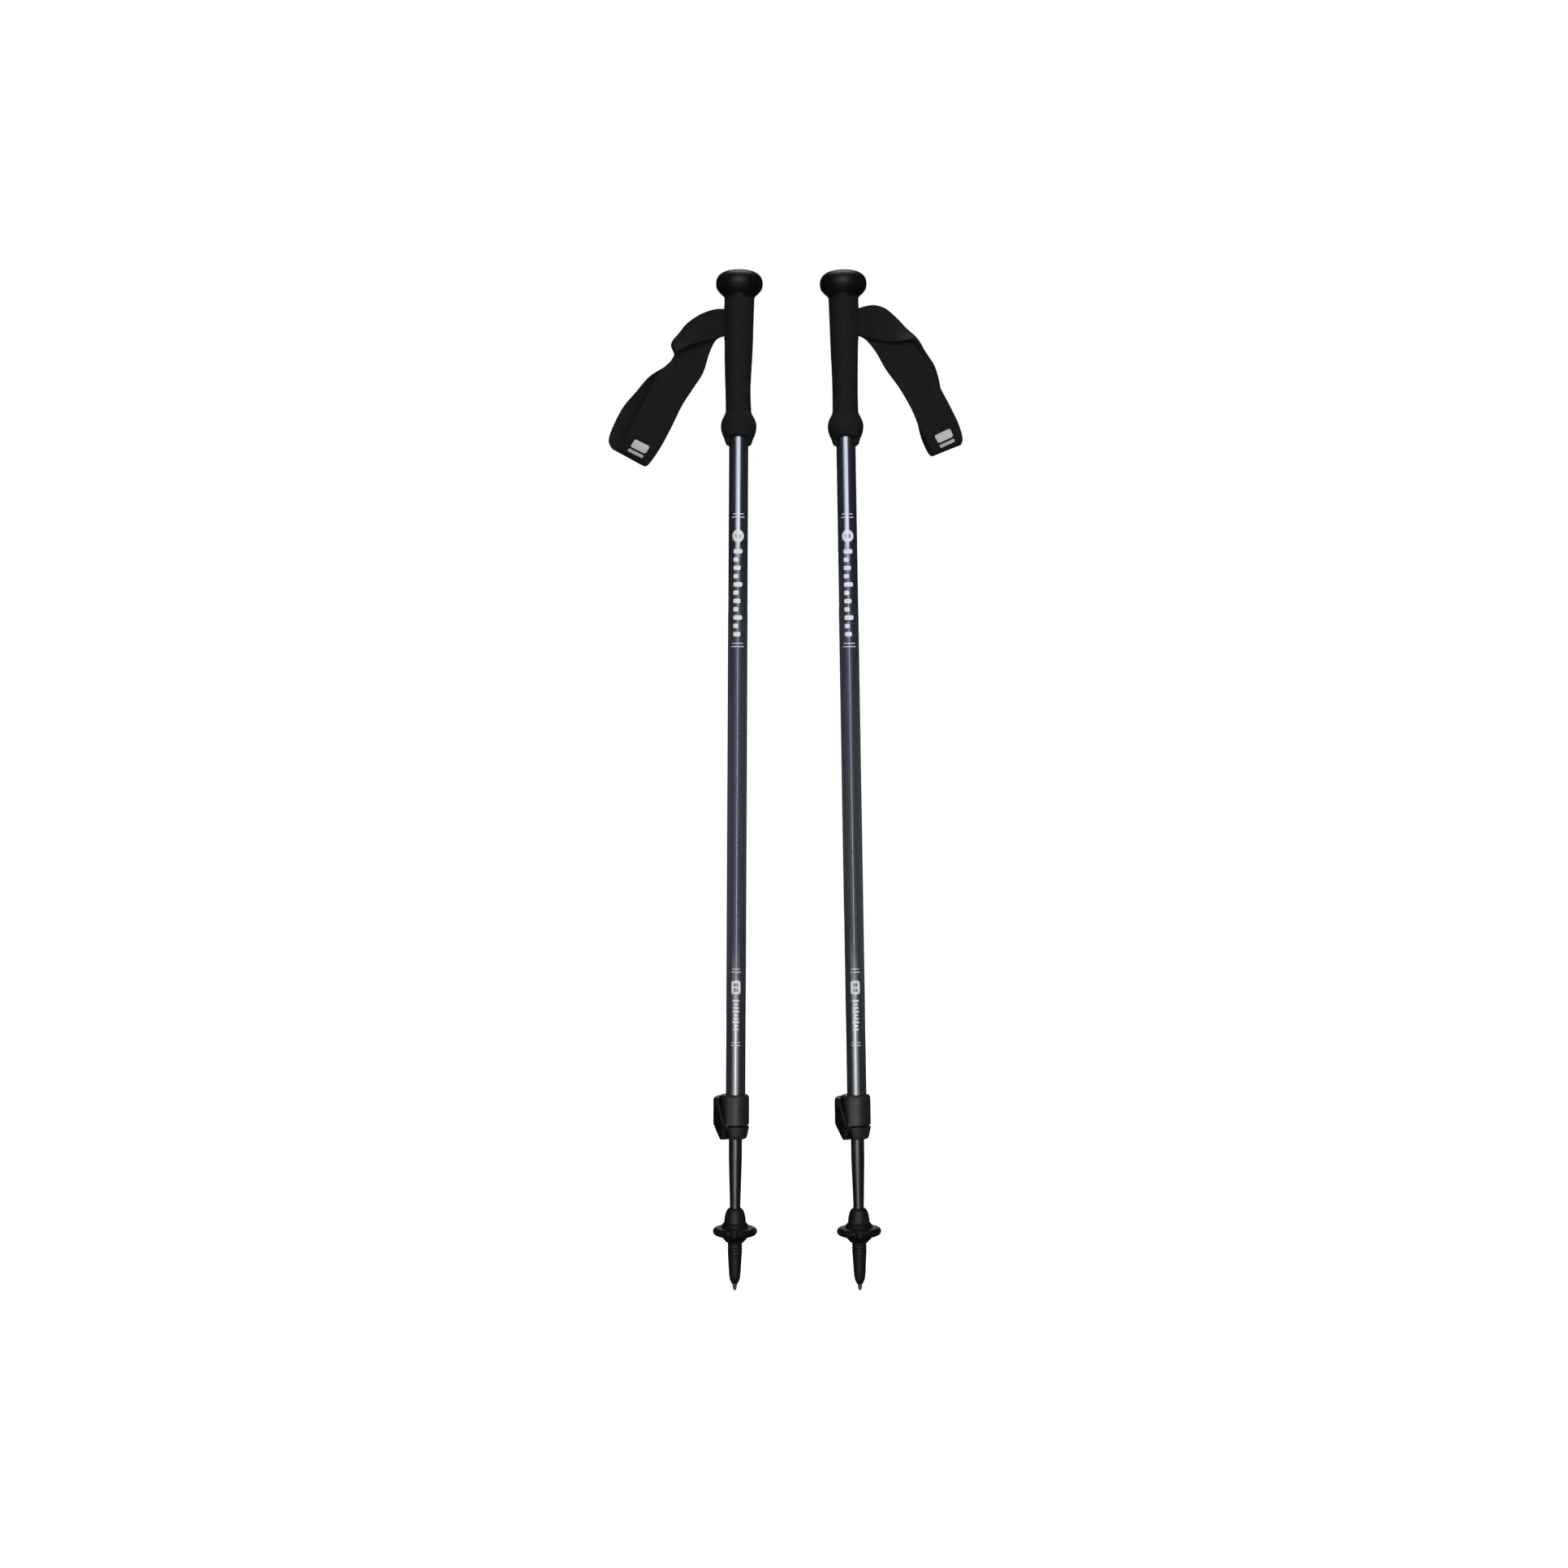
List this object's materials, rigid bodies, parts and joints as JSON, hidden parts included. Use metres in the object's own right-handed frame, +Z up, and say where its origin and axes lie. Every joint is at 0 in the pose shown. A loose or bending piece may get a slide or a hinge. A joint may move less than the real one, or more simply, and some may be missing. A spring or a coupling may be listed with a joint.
{
  "type": "trekking poles",
  "caption": "Pair of telescoping trekking poles with lever locks, foam grips, palm knobs, webbing wrist straps, baskets and carbide tips, standing collapsed.",
  "frame": {"origin": "point of the left pole's carbide tip, on the ground", "axes": "+Z up, +X from the left pole to the right pole, seen from the front along +Y"},
  "size_m": [0.3439, 0.046, 1],
  "materials": {
    "upper_paint": "gloss",
    "lower_anodised": "satin",
    "grip_foam": "matte",
    "knob_plastic": "satin",
    "core_plastic": "matte",
    "webbing": "matte",
    "lock_plastic": "satin",
    "lever_plastic": "satin",
    "bush_plastic": "satin",
    "steel": "satin",
    "tip_plastic": "satin",
    "basket_plastic": "matte",
    "carbide": "satin"
  },
  "bodies": {
    "left_lower": {"left_lower_shaft": "lower_anodised", "left_tip_ferrule": "tip_plastic", "left_carbide_tip": "carbide", "left_basket": "basket_plastic"},
    "left_guide": {"left_guide_plug": "bush_plastic"},
    "left_upper": {"left_upper_shaft": "upper_paint", "left_shaft_bushing": "bush_plastic", "left_grip_core": "core_plastic", "left_grip_foam": "grip_foam", "left_grip_knob": "knob_plastic", "left_strap_pin": "steel", "left_strap_wedge": "core_plastic", "left_strap": "webbing", "left_lock_body": "lock_plastic", "left_lock_nut": "steel", "left_lock_screw": "steel", "left_lock_washer": "steel"},
    "left_lever": {"left_lock_lever": "lever_plastic"},
    "right_lower": {"right_lower_shaft": "lower_anodised", "right_tip_ferrule": "tip_plastic", "right_carbide_tip": "carbide", "right_basket": "basket_plastic"},
    "right_guide": {"right_guide_plug": "bush_plastic"},
    "right_upper": {"right_upper_shaft": "upper_paint", "right_shaft_bushing": "bush_plastic", "right_grip_core": "core_plastic", "right_grip_foam": "grip_foam", "right_grip_knob": "knob_plastic", "right_strap_pin": "steel", "right_strap_wedge": "core_plastic", "right_strap": "webbing", "right_lock_body": "lock_plastic", "right_lock_nut": "steel", "right_lock_screw": "steel", "right_lock_washer": "steel"},
    "right_lever": {"right_lock_lever": "lever_plastic"}
  },
  "joints": [
    {"name": "right_lift", "type": "slide", "parent": "left_lower", "child": "right_lower", "axis": [0, 0, 1], "range_m": [0, 0.3]},
    {"name": "left_twist", "type": "hinge", "parent": "left_lower", "child": "left_guide", "pos_m": [0.00236, 0, 0.49999], "axis": [0.0047, 0, 1], "range_deg": [-90, 90]},
    {"name": "left_extend", "type": "slide", "parent": "left_guide", "child": "left_upper", "axis": [0.0047, 0, 1], "range_m": [0, 0.4]},
    {"name": "left_lock_lever", "type": "hinge", "parent": "left_upper", "child": "left_lever", "pos_m": [-0.01087, -0.0124, 0.15505], "axis": [0.0047, 0, 1], "range_deg": [0, 95]},
    {"name": "right_twist", "type": "hinge", "parent": "right_lower", "child": "right_guide", "pos_m": [0.11462, 0, 0.49993], "axis": [-0.0168, 0, 0.9999], "range_deg": [-90, 90]},
    {"name": "right_extend", "type": "slide", "parent": "right_guide", "child": "right_upper", "axis": [-0.0168, 0, 0.9999], "range_m": [0, 0.4]},
    {"name": "right_lock_lever", "type": "hinge", "parent": "right_upper", "child": "right_lever", "pos_m": [0.1088, -0.0124, 0.15478], "axis": [-0.0168, 0, 0.9999], "range_deg": [0, 95]}
  ]
}
